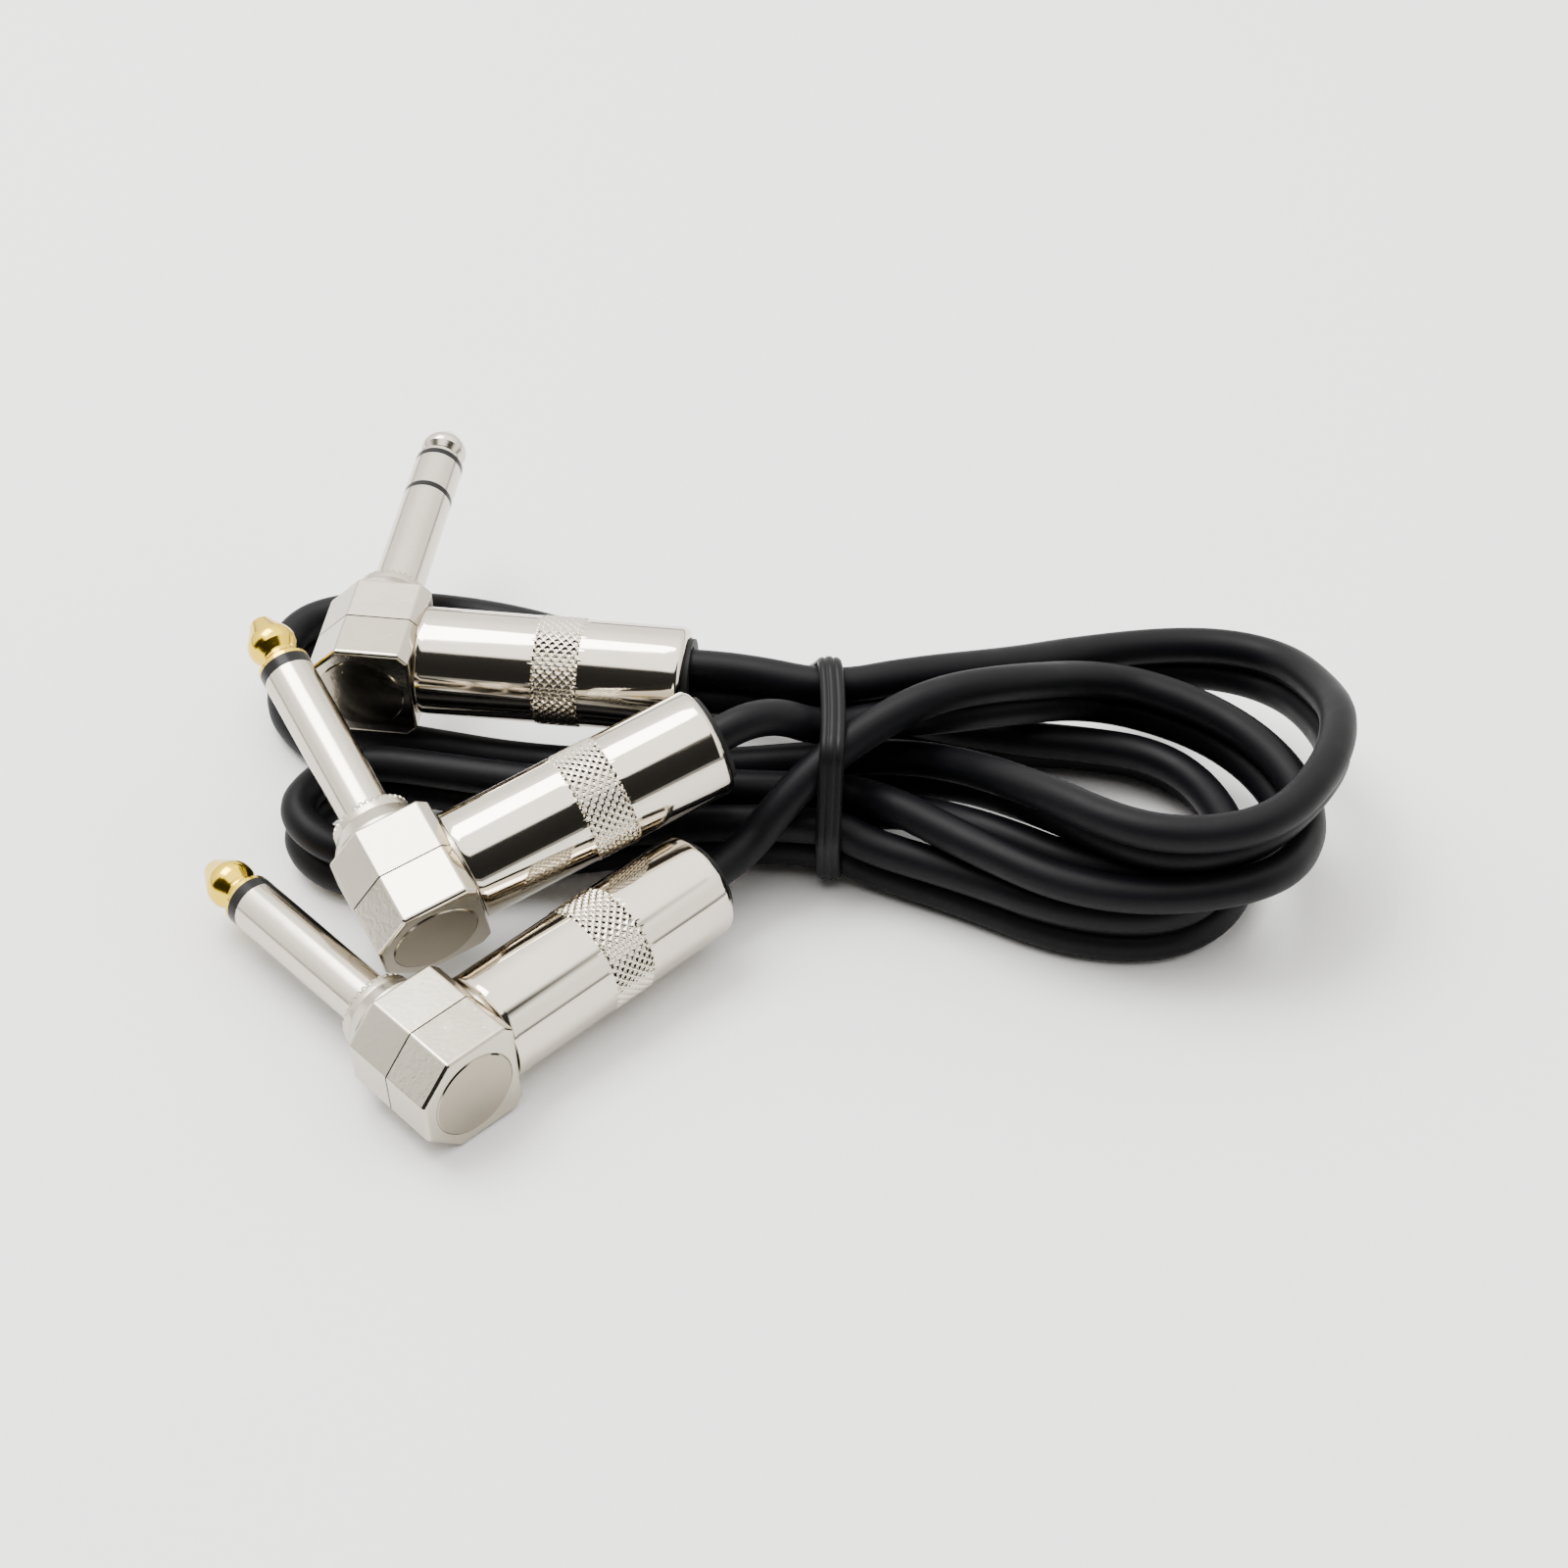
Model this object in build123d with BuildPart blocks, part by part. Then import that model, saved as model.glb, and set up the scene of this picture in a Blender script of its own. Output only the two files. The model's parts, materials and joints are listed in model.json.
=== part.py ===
from build123d import *
import os
from math import acos, cos, pi, radians, sin, sqrt

# Instrument "insert" cable: one stereo and two mono right-angle 1/4 inch plugs on a twin-core
# cable, hanked in three turns and held by a moulded tie.  Millimetres, Z up, floor at Z = 0.

os.makedirs("parts", exist_ok=True)

# ---- Plug contacts, to the 1/4 inch (6.35 mm) phone plug standard ------------------------------
shaft_dia = 6.35          # contact sleeve, ring and widest part of the tip
rod_dia = 2.0             # centre rod that joins the tip to its solder lug
contact_fit = 0.02        # radial clearance of the nested contact tubes
mono_tip_length = 7.8
mono_gap = 1.5            # insulating washer behind a mono tip
mono_tip_base = 35.1      # from the barrel axis to the back of the tip
stereo_tip_length = 6.3
stereo_gap = 0.95         # insulating washers beside the stereo ring
stereo_tip_base = 37.3
ring_length = 5.85        # stereo ring contact
ring_wall = 0.45          # tube that carries the ring back to its lug
insulation_wall = 0.55
sleeve_flange_dia = 9.0   # flange that holds the sleeve under the elbow roof
sleeve_flange = 0.8
spigot_dia = 6.0          # reduced length of the sleeve inside the collar and the elbow

# ---- Elbow housing -----------------------------------------------------------------------------
elbow_width = 13.2        # square to the shaft and to the barrel
elbow_height = 13.6       # along the shaft
elbow_back = 6.7          # shaft axis to the far flat of the elbow
elbow_front = 6.3         # shaft axis to the face that the barrel meets
elbow_bevel = 4.0         # bevel on the two far corners
front_bevel = 1.2         # bevel on the two corners beside the barrel
elbow_wall = 1.4
seam_groove = 0.2         # shadow line between the elbow and its cover
edge_round = 0.5
disc_dia = 10.4           # pressed plate that closes the cover
disc_thickness = 1.0
disc_proud = 0.15
disc_play = 0.05          # radial clearance of the plate in its seat
disc_ledge = 0.9          # width of the ledge that the plate sits on

# ---- Collar between the elbow and the shaft ----------------------------------------------------
cone_height = 2.6
cone_dia = 12.4
collar_dia = 9.8
collar_height = 1.8
collar_teeth = 28
tooth_depth = 0.35

# ---- Screwed barrel ----------------------------------------------------------------------------
barrel_dia = 13.2
barrel_length = 32.5
barrel_gap = 0.25         # seam between the elbow and the barrel
barrel_lip = 1.2          # inward lip at the cable end
lip_depth = 0.3           # how far the lip reaches in from the bore
rim_share = 0.77          # part of the rim's width that is rounded
knurl_start = 14.4        # from the elbow end of the barrel
knurl_length = 5.4
knurl_rise = 0.1
thread_length = 3.0       # engaged length of the neck and barrel threads, three turns
thread_fit = 0.06         # radial running clearance of the thread
neck_wall = 0.9
liner_wall = 0.5
liner_fit = 0.06
liner_gap = 0.4           # liner to the neck and to the strain relief
bush_length = 8.0         # strain relief held behind the lip
bush_wall = 0.7           # beside the cable
bush_fit = 0.06
bush_proud = 0.6          # how far the strain relief shows past the lip

# ---- Cable and tie -----------------------------------------------------------------------------
core_dia = 4.4
core_pitch = 4.9          # centre distance of the two cores
core_play = 0.25          # radial clearance of a core in its strain relief
jacket_start = 13.0       # from the shaft axis to the cut end of the jacket
wire_dia = 1.6            # insulated conductor beyond the jacket
lug_thickness = 0.5
lug_clearance = 0.35      # strip of the ground lug to the bore that it runs through
clamp_length = 4.0
lead_straight = 43.0      # the cable leaves a plug straight as far as this from the shaft axis
tie_width = 3.0
tie_thickness = 0.95
tie_margin = 0.85         # tie to the cores of the bundle
tie_x = 5.4

bore_radius = (core_pitch + core_dia) / 2 + core_play + bush_wall
mouth_radius = bore_radius - lip_depth
barrel_rim_round = rim_share * (barrel_dia / 2 - mouth_radius)
neck_radius = bore_radius - thread_fit
neck_bore = neck_radius - neck_wall
barrel_start = elbow_front + barrel_gap
barrel_end = barrel_start + barrel_length
neck_end = barrel_start + thread_length
bush_start = barrel_end - barrel_lip - bush_length
roof = elbow_height / 2
cone_top = roof + cone_height
collar_top = cone_top + collar_height

# Middle of the three plugs on the floor, which becomes the origin.
middle = Vector(-37.06, -7.728, -0.03)


def place(x, y, z):
    return Vector(x, y, z) - middle


def save(builder, name):
    builder.part.label = name
    export_step(builder.part, f"parts/{name}.step")


class Seat:
    """Planes of one plug: its elbow centre, the barrel direction and the shaft direction."""

    def __init__(self, centre, turn, rise, roll):
        heading, climb, tilt = radians(turn), radians(rise), radians(roll)
        barrel = Vector(cos(climb) * cos(heading), cos(climb) * sin(heading), sin(climb))
        level = Vector(-sin(heading), cos(heading), 0)
        shaft = level * cos(tilt) + barrel.cross(level) * sin(tilt)
        self.centre = centre
        self.barrel = barrel
        self.shaft = shaft
        self.side = shaft.cross(barrel)
        self.shaft_axis = Axis(centre, shaft)
        self.barrel_axis = Axis(centre, barrel)
        self.section = Plane(centre, x_dir=barrel, z_dir=barrel.cross(shaft))

    def across_shaft(self, height):
        """Plane square to the shaft, X along the barrel."""
        return Plane(self.centre + self.shaft * height, x_dir=self.barrel, z_dir=self.shaft)

    def across_barrel(self, distance):
        """Plane square to the barrel, X along the side of the plug."""
        return Plane(self.centre + self.barrel * distance, x_dir=self.side, z_dir=self.barrel)

    def along_barrel(self, distance, sideways=0.0):
        return self.centre + self.barrel * distance + self.side * sideways


# ---- Contacts: all turned about the shaft axis -------------------------------------------------

def stepped_tube(seat, name, bore, radius, low, high, wide_radius, wide_high):
    """A tube about the shaft with a wider head from high to wide_high."""
    with BuildPart() as stepped:
        with BuildSketch(seat.across_shaft(low)):
            Circle(radius)
        extrude(amount=high - low)
        with BuildSketch(seat.across_shaft(high)):
            Circle(wide_radius)
        extrude(amount=wide_high - high)
        with BuildSketch(seat.across_shaft(low)):
            Circle(bore)
        extrude(amount=wide_high - low, mode=Mode.SUBTRACT)
    save(stepped, name)


def tip_contact(seat, name, base, length):
    """Flange, waisted neck, bulb and conical nose, with the rod that runs back to the lug."""
    k = length / 7.8
    rod = rod_dia / 2
    with BuildPart() as tip:
        with BuildSketch(seat.section):
            with BuildLine():
                Polyline((0, 1), (rod, 1), (rod, base), (shaft_dia / 2, base),
                         (shaft_dia / 2, base + 0.45), (2.3, base + 1.2 * k))
                ThreePointArc((2.3, base + 1.2 * k), (2.12, base + 1.65 * k), (2.3, base + 2.1 * k))
                Line((2.3, base + 2.1 * k), (2.85, base + 3.0 * k))
                ThreePointArc((2.85, base + 3.0 * k), (3.0, base + 3.9 * k), (2.75, base + 4.9 * k))
                Line((2.75, base + 4.9 * k), (1.5, base + 7.2 * k))
                ThreePointArc((1.5, base + 7.2 * k), (1.2, base + 7.6 * k), (0.6, base + length))
                Polyline((0.6, base + length), (0, base + length), (0, 1))
            make_face()
        revolve(axis=seat.shaft_axis)
    save(tip, name)


def contact_sleeve(seat, name, bore, end):
    """Outer contact, held by a flange under the elbow roof."""
    top = roof - elbow_wall
    with BuildPart() as sleeve:
        with BuildSketch(seat.across_shaft(top - sleeve_flange)):
            Circle(sleeve_flange_dia / 2)
        extrude(amount=sleeve_flange)
        with BuildSketch(seat.across_shaft(top)):
            Circle(spigot_dia / 2)
        extrude(amount=collar_top - top)
        with BuildSketch(seat.across_shaft(collar_top)):
            Circle(shaft_dia / 2)
        extrude(amount=end - collar_top)
        with BuildSketch(seat.across_shaft(top - sleeve_flange)):
            Circle(bore)
        extrude(amount=end - top + sleeve_flange, mode=Mode.SUBTRACT)
    save(sleeve, name)


def solder_lug(seat, name, height, bore, radius, reach, sideways):
    """Washer on the end of a rod or tube, with a tongue towards the cable."""
    with BuildPart() as lug:
        with BuildSketch(seat.across_shaft(height)):
            Circle(radius)
            with Locations((reach / 2, sideways)):
                Rectangle(reach, wire_dia)
            Circle(bore, mode=Mode.SUBTRACT)
        extrude(amount=lug_thickness)
    save(lug, name)


# ---- Elbow, cover, end plate and collar --------------------------------------------------------

def elbow_outline(wall):
    """Section of the elbow square to the shaft, drawn in by the wall given."""
    back, front, half = elbow_back - wall, elbow_front - wall, elbow_width / 2 - wall
    far, near = elbow_bevel - 0.6 * wall, front_bevel - 0.6 * wall
    Polygon((-back, -half + far), (-back + far, -half), (front - near, -half), (front, -half + near),
            (front, half - near), (front - near, half), (-back + far, half), (-back, half - far),
            align=None)


def elbow_body(seat, name):
    with BuildPart() as body:
        with BuildSketch(seat.across_shaft(0)):
            elbow_outline(0)
        extrude(amount=roof)
        fillet(body.edges().filter_by(seat.shaft_axis), edge_round)
        fillet(body.faces().sort_by(seat.shaft_axis)[-1].edges(), edge_round)
        with BuildSketch(seat.section):
            Polygon((0, roof - 1), (cone_dia / 2, roof - 1), (cone_dia / 2, roof + 0.4),
                    (collar_dia / 2, cone_top), (0, cone_top), align=None)
        revolve(axis=seat.shaft_axis)
        with BuildSketch(seat.across_shaft(0)):
            elbow_outline(elbow_wall)
        extrude(amount=roof - elbow_wall, mode=Mode.SUBTRACT)
        with BuildSketch(seat.across_shaft(0)):
            Circle(spigot_dia / 2 + contact_fit)
        extrude(amount=collar_top, mode=Mode.SUBTRACT)
        with BuildSketch(seat.across_barrel(elbow_front - elbow_wall)):
            Circle(neck_radius)
        extrude(amount=neck_end - elbow_front + elbow_wall)
        with BuildSketch(seat.across_barrel(elbow_front - elbow_wall)):
            Circle(neck_bore)
        extrude(amount=neck_end - elbow_front + elbow_wall, mode=Mode.SUBTRACT)
    save(body, name)


def elbow_cover(seat, name):
    with BuildPart() as cover:
        with BuildSketch(seat.across_shaft(-roof)):
            elbow_outline(0)
        extrude(amount=roof - seam_groove)
        fillet(cover.edges().filter_by(seat.shaft_axis), edge_round)
        fillet(cover.faces().sort_by(seat.shaft_axis)[0].edges(), edge_round)
        with BuildSketch(seat.across_shaft(-roof + elbow_wall)):
            elbow_outline(elbow_wall)
        extrude(amount=roof - elbow_wall - seam_groove, mode=Mode.SUBTRACT)
        with BuildSketch(seat.across_shaft(-roof)):
            Circle(disc_dia / 2 + disc_play)
        extrude(amount=disc_thickness - disc_proud, mode=Mode.SUBTRACT)
        with BuildSketch(seat.across_shaft(-roof)):
            Circle(disc_dia / 2 - disc_ledge)
        extrude(amount=elbow_wall, mode=Mode.SUBTRACT)
        with BuildSketch(seat.across_barrel(0)):
            Circle(neck_radius + disc_play)
        extrude(amount=neck_end, mode=Mode.SUBTRACT)
    save(cover, name)


def end_disc(seat, name):
    with BuildPart() as disc:
        with BuildSketch(seat.across_shaft(-roof - disc_proud)):
            Circle(disc_dia / 2)
        extrude(amount=disc_thickness)
        chamfer(disc.faces().sort_by(seat.shaft_axis)[0].edges(), disc_proud)
    save(disc, name)


def serrated_collar(seat, name):
    with BuildPart() as collar:
        with BuildSketch(seat.across_shaft(cone_top)):
            Circle(collar_dia / 2)
            with PolarLocations(collar_dia / 2, collar_teeth):
                Circle(tooth_depth, mode=Mode.SUBTRACT)
            Circle(spigot_dia / 2 + contact_fit, mode=Mode.SUBTRACT)
        extrude(amount=collar_height)
    save(collar, name)


def ground_lug(seat, name, bore, spread):
    """Washer under the sleeve flange, a strip along the barrel and the jaw that grips the cable.
    The spread is the distance between the two cores in the plug, nought for a mono plug."""
    top = roof - elbow_wall - sleeve_flange
    grip = core_dia / 2 + disc_play
    rim = sleeve_flange_dia / 2 - 0.4
    knee = Vector(elbow_front - elbow_wall - 0.2, neck_bore - lug_clearance)
    with BuildPart() as lug:
        with BuildSketch(seat.across_shaft(top - lug_thickness)):
            Circle(rim)
            Circle(bore, mode=Mode.SUBTRACT)
        extrude(amount=lug_thickness)
        with BuildSketch(seat.section):
            Polygon((rim - 0.5, top - lug_thickness), (rim - 0.5, top), (knee.X, knee.Y),
                    (jacket_start, grip + lug_thickness),
                    (jacket_start + clamp_length, grip + lug_thickness),
                    (jacket_start + clamp_length, grip), (jacket_start - 0.5, grip),
                    (knee.X - 0.2, knee.Y - lug_thickness), align=None)
        extrude(amount=1.5, both=True)
        with BuildSketch(seat.across_barrel(jacket_start)) as jaw:
            if spread:
                SlotCenterToCenter(spread, 2 * (grip + lug_thickness))
                SlotCenterToCenter(spread, 2 * grip, mode=Mode.SUBTRACT)
                with Locations((0, 2 * grip - 0.9)):
                    Rectangle(8.8, 2 * grip, mode=Mode.INTERSECT)
            else:
                Circle(grip + lug_thickness)
                Circle(grip, mode=Mode.SUBTRACT)
                with Locations((0, grip)):
                    Rectangle(3 * grip, 2.2 * grip, mode=Mode.INTERSECT)
        extrude(amount=clamp_length)
    save(lug, name)


# ---- Barrel, liner and strain relief: all turned about the barrel axis -------------------------

def screwed_barrel(seat, name):
    outer, raised = barrel_dia / 2, barrel_dia / 2 + knurl_rise
    band, mouth = barrel_start + knurl_start, mouth_radius
    shoulder = barrel_end - barrel_rim_round
    slant = barrel_rim_round * (1 - sqrt(0.5))
    with BuildPart() as barrel:
        with BuildSketch(seat.section):
            with BuildLine():
                Polyline((barrel_end, outer - barrel_rim_round), (barrel_end, mouth),
                         (barrel_end - barrel_lip, mouth), (barrel_end - barrel_lip, bore_radius),
                         (barrel_start, bore_radius), (barrel_start, outer), (band, outer),
                         (band, raised), (band + knurl_length, raised), (band + knurl_length, outer),
                         (shoulder, outer))
                ThreePointArc((shoulder, outer), (barrel_end - slant, outer - slant),
                              (barrel_end, outer - barrel_rim_round))
            make_face()
        revolve(axis=seat.barrel_axis)
    save(barrel, name)


def barrel_liner(seat, name):
    start = neck_end + liner_gap
    with BuildPart() as liner:
        with BuildSketch(seat.across_barrel(start)):
            Circle(bore_radius - liner_fit)
            Circle(bore_radius - liner_fit - liner_wall, mode=Mode.SUBTRACT)
        extrude(amount=bush_start - start)
    save(liner, name)


def strain_relief(seat, name, spread):
    nose = mouth_radius - bush_fit
    bore = core_dia + 2 * core_play
    with BuildPart() as bush:
        with BuildSketch(seat.across_barrel(bush_start)):
            Circle(bore_radius - bush_fit)
        extrude(amount=bush_length - bush_fit)
        with BuildSketch(seat.across_barrel(bush_start)):
            Circle(nose)
        extrude(amount=bush_length + barrel_lip + bush_proud)
        with BuildSketch(seat.across_barrel(bush_start)):
            if spread:
                SlotCenterToCenter(spread, bore)
            else:
                Circle(bore / 2)
        extrude(amount=bush_length + barrel_lip + bush_proud, mode=Mode.SUBTRACT)
    save(bush, name)


def conductor(seat, name, start, height, sideways, at_core):
    """Insulated wire from a lug to the core that it belongs to."""
    lug_end = seat.centre + seat.barrel * start + seat.shaft * height + seat.side * sideways
    core_end = seat.along_barrel(jacket_start, at_core)
    bend = seat.barrel * (0.4 * (jacket_start - start))
    with BuildPart() as wire:
        with BuildLine() as run:
            Bezier(lug_end, lug_end + bend, core_end - bend, core_end)
        with BuildSketch(Plane(lug_end, z_dir=seat.barrel)):
            Circle(wire_dia / 2)
        sweep(path=run.line)
    save(wire, name)


# ---- The three plugs ---------------------------------------------------------------------------

stereo = Seat(place(-50.5, 4.5, 17.1), turn=-7.3, rise=0, roll=4)
mono_low = Seat(place(-38.3, -53.8, 6.675), turn=43.4, rise=2.5, roll=0)
mono_high = Seat(place(-42.7, -33.0, 12.5), turn=27.1, rise=12, roll=15.6)

rod_bore = rod_dia / 2 + contact_fit
mono_bore = rod_bore + insulation_wall + 0.6
for plug, seat, spread in (("stereo", stereo, core_pitch), ("mono_low", mono_low, 0.0),
                           ("mono_high", mono_high, 0.0)):
    if spread:
        ring_end = stereo_tip_base - stereo_gap
        ring_start = ring_end - ring_length
        ring_bore = rod_bore + insulation_wall
        ring_tube = ring_bore + ring_wall
        sleeve_bore = ring_tube + insulation_wall
        sleeve_end = ring_start - stereo_gap
        tip_contact(seat, "stereo_tip", stereo_tip_base, stereo_tip_length)
        stepped_tube(seat, "stereo_tip_insulator", rod_bore, ring_bore - contact_fit, 1.7, ring_end,
                     shaft_dia / 2, stereo_tip_base)
        stepped_tube(seat, "stereo_ring", ring_bore, ring_tube, 2.6, ring_start, shaft_dia / 2, ring_end)
        stepped_tube(seat, "stereo_ring_insulator", ring_tube + contact_fit, sleeve_bore - contact_fit,
                     3.3, sleeve_end, shaft_dia / 2, ring_start)
        solder_lug(seat, "stereo_ring_lug", 2.6 - lug_thickness, ring_bore, 2.6, 4.2, 2.0)
        conductor(seat, "stereo_tip_wire", 4.3, 0.75, 0, -spread / 2)
        conductor(seat, "stereo_ring_wire", 4.3, 2.3, 2.0, spread / 2)
    else:
        sleeve_bore = mono_bore
        sleeve_end = mono_tip_base - mono_gap
        tip_contact(seat, f"{plug}_tip", mono_tip_base, mono_tip_length)
        stepped_tube(seat, f"{plug}_tip_insulator", rod_bore, mono_bore - contact_fit, 2.5, sleeve_end,
                     shaft_dia / 2, mono_tip_base)
        conductor(seat, f"{plug}_tip_wire", 4.3, 0.75, 0, 0)
    contact_sleeve(seat, f"{plug}_sleeve", sleeve_bore, sleeve_end)
    solder_lug(seat, f"{plug}_tip_lug", 1 - lug_thickness, 0.4, 1.9, 4.2, 0)
    ground_lug(seat, f"{plug}_ground_lug", sleeve_bore, spread)
    elbow_body(seat, f"{plug}_elbow")
    elbow_cover(seat, f"{plug}_cover")
    end_disc(seat, f"{plug}_end_disc")
    serrated_collar(seat, f"{plug}_collar")
    screwed_barrel(seat, f"{plug}_barrel")
    barrel_liner(seat, f"{plug}_liner")
    strain_relief(seat, f"{plug}_strain_relief", spread)


# ---- Cable route -------------------------------------------------------------------------------
# Stations of the upper core: position, and the lean of the twin cable away from standing on edge
# in degrees, positive where the lower core lies to the left.  Each group is one half turn of the
# hank, from one crossing of the tie to the next.

half_turns = (
    # from the stereo plug round the right end, outermost at the far side
    ((5.4, -4.0, 19.0, 14), (15.8, -1.5, 18.5, 14), (27.8, 3.5, 16.2, 14), (36.7, 8.8, 13.7, 14),
     (47.4, 11.7, 12.8, 10), (56.0, 11.0, 13.0, 5), (62.1, 6.8, 14.1, 0), (65.3, -1.7, 16.6, 0),
     (65.5, -11.6, 19.7, 0), (62.1, -21.5, 21.6, -30), (55.5, -27.6, 21.0, -75),
     (47.0, -28.8, 19.8, -88), (38.1, -27.2, 19.0, -85), (28.3, -21.3, 17.0, -60),
     (17.9, -10.7, 11.8, -25)),
    # under the stereo barrel and round the left end
    ((5.7, -6.1, 8.8, -14), (-11.9, -6.2, 7.9, -14), (-30.4, -4.8, 7.6, -14),
     (-45.9, -0.4, 7.1, -10), (-57.5, 3.3, 7.1, 0), (-64.2, 11.6, 7.4, 0), (-63.5, 21.6, 7.6, 0),
     (-56.5, 26.0, 7.7, 5), (-44.4, 25.4, 7.9, 14), (-30.0, 20.7, 8.1, 14), (-12.1, 12.2, 8.2, 14)),
    # the inner turn at the right, on the floor
    ((5.4, 6.5, 8.8, 14), (15.8, 3.8, 7.9, 14), (27.7, 0.1, 7.4, 14), (36.6, -1.6, 7.3, 10),
     (44.9, -4.0, 7.3, 5), (50.7, -9.1, 7.2, 0), (53.4, -17.7, 7.2, 0), (51.2, -26.5, 7.2, 0),
     (44.1, -32.8, 7.3, -5), (32.9, -31.7, 7.4, -5), (21.4, -25.4, 7.6, -10),
     (10.9, -19.8, 8.1, -14)),
    # under the mono barrels and round the left end, close beside the first left turn
    ((4.3, -17.7, 8.8, -14), (-9.6, -15.9, 8.0, -14), (-22.7, -17.1, 7.6, -14),
     (-33.8, -19.0, 7.3, -14), (-43.8, -20.8, 7.1, -10), (-53.0, -20.1, 7.7, 0),
     (-58.2, -15.0, 8.6, 0), (-55.9, -9.4, 9.2, 5), (-49.8, -7.3, 9.7, 14),
     (-38.9, -9.3, 9.9, 14), (-25.9, -11.5, 9.9, 14), (-9.9, -11.2, 9.4, 14)),
    # the middle turn at the right, coming back over the top
    ((5.6, -11.4, 8.8, 14), (13.1, -15.8, 10.6, 45), (22.6, -23.5, 12.1, 75),
     (33.4, -30.1, 12.8, 85), (44.8, -33.2, 13.5, 85), (55.6, -31.0, 14.0, 60),
     (61.1, -23.5, 12.2, 20), (61.4, -14.2, 11.2, 0), (57.4, -5.7, 11.7, -5),
     (49.9, 0.8, 12.3, -10), (40.1, 3.8, 13.3, -14), (28.6, -3.0, 18.6, -14)),
    # last crossing, where the cores part for the two mono plugs
    ((19.0, -7.6, 20.1, -14), (11.8, -10.9, 19.1, -14), (5.5, -14.7, 17.0, -14),
     (-0.1, -18.7, 13.5, -14)),
)
parting = sum(len(turn) for turn in half_turns[:5]) + 1
last_crossing = parting + 2
mono_high_run = ((4.8, -9.1, 16.9), (11.8, -6.7, 15.2))


def heading(before, here, after):
    """Direction at a station of the circle through it and its two neighbours."""
    inward, outward = here - before, after - here
    blend = inward * (outward.length / inward.length) + outward * (inward.length / outward.length)
    return blend.normalized()


def headings(stations, first, last):
    inner = [heading(*stations[i - 1:i + 2]) for i in range(1, len(stations) - 1)]
    return [first, *inner, last]


def meeting(start, leave, end, arrive):
    """Point, and direction there, where two equal-tangent arcs between the stations meet."""
    chord, both = end - start, leave + arrive
    spare = 2 * (1 - leave.dot(arrive))
    reach = chord.dot(both)
    if spare < 1e-6:
        tangent = chord.dot(chord) / (2 * reach)
    else:
        tangent = (sqrt(reach * reach + spare * chord.dot(chord)) - reach) / spare
    near, far = start + leave * tangent, end - arrive * tangent
    return (near + far) * 0.5, (far - near).normalized()


def arc(start, leave, end):
    """Arc or straight line that leaves along the direction given."""
    chord = (end - start).normalized()
    if chord.dot(leave) > 0.9999995:
        return Line(start, end)
    return TangentArc(start, end, tangent=leave)


def run_length(stations, directions):
    """Length of the arcs and the tightest radius in a run."""
    total, tightest = 0.0, 1e9
    for i in range(len(stations) - 1):
        joint, onward = meeting(stations[i], directions[i], stations[i + 1], directions[i + 1])
        for a, leave, b in ((stations[i], directions[i], joint), (joint, onward, stations[i + 1])):
            chord = b - a
            half = acos(min(1.0, chord.normalized().dot(leave)))
            radius = chord.length / (2 * sin(half)) if half > 1e-3 else 1e9
            total += 2 * half * radius if half > 1e-3 else chord.length
            tightest = min(tightest, radius)
    return total, tightest


def self_gap(stations, directions):
    """Least gap between lengths of one core that are more than 12 mm apart along it."""
    points, run = [], 0.0
    for i in range(len(stations) - 1):
        joint, onward = meeting(stations[i], directions[i], stations[i + 1], directions[i + 1])
        for edge in (arc(stations[i], directions[i], joint), arc(joint, onward, stations[i + 1])):
            steps = max(2, int(edge.length))
            points += [(run + edge.length * k / steps, edge @ (k / steps)) for k in range(steps)]
            run += edge.length
    gaps = [(p - q).length for at, p in points for further, q in points if further - at > 12]
    return min(gaps, default=99.0) - core_dia


def cable(name, stations, directions, lead_in=None, lead_out=None):
    """A core swept along arcs through the stations, with a straight length at a plug."""
    with BuildPart() as core:
        with BuildLine() as route:
            if lead_in:
                Line(lead_in, stations[0])
            for i in range(len(stations) - 1):
                joint, onward = meeting(stations[i], directions[i], stations[i + 1], directions[i + 1])
                arc(stations[i], directions[i], joint)
                arc(joint, onward, stations[i + 1])
            if lead_out:
                Line(stations[-1], lead_out)
        with BuildSketch(Plane(lead_in or stations[0], z_dir=directions[0])):
            Circle(core_dia / 2)
        sweep(path=route.wires()[0])
    save(core, name)
    straight = sum((b - a).length for a, b in ((lead_in, stations[0]), (stations[-1], lead_out)) if a and b)
    total, tightest = run_length(stations, directions)
    section = pi * (core_dia / 2) ** 2
    ratio = core.part.volume / (section * (total + straight))
    print(f"{name}: length {total + straight:.1f}, radius {tightest:.1f}, volume {ratio:.4f} of "
          f"section x length, self-gap {self_gap(stations, directions):.2f}")
    return total + straight


def lower_core(direction, lean):
    """From the upper core to the lower one."""
    left = Vector(-direction.Y, direction.X, 0).normalized()
    up = direction.cross(left)
    return (left * sin(radians(lean)) - up * cos(radians(lean))) * core_pitch


stations = [station for turn in half_turns for station in turn]
upper = [stereo.along_barrel(lead_straight, -core_pitch / 2)]
upper += [place(x, y, z) for x, y, z, lean in stations]
upper.append(mono_low.along_barrel(lead_straight))
upper_heading = headings(upper, stereo.barrel, -mono_low.barrel)

lower = [stereo.along_barrel(lead_straight, core_pitch / 2)]
lower += [upper[i] + lower_core(upper_heading[i], stations[i - 1][3]) for i in range(1, parting + 1)]
lower_heading = headings(lower, stereo.barrel, upper_heading[parting])

branch = [mono_high.along_barrel(lead_straight)]
branch += [place(*station) for station in mono_high_run]
branch.append(lower[-1])
branch_heading = headings(branch, mono_high.barrel, -lower_heading[-1])

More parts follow.
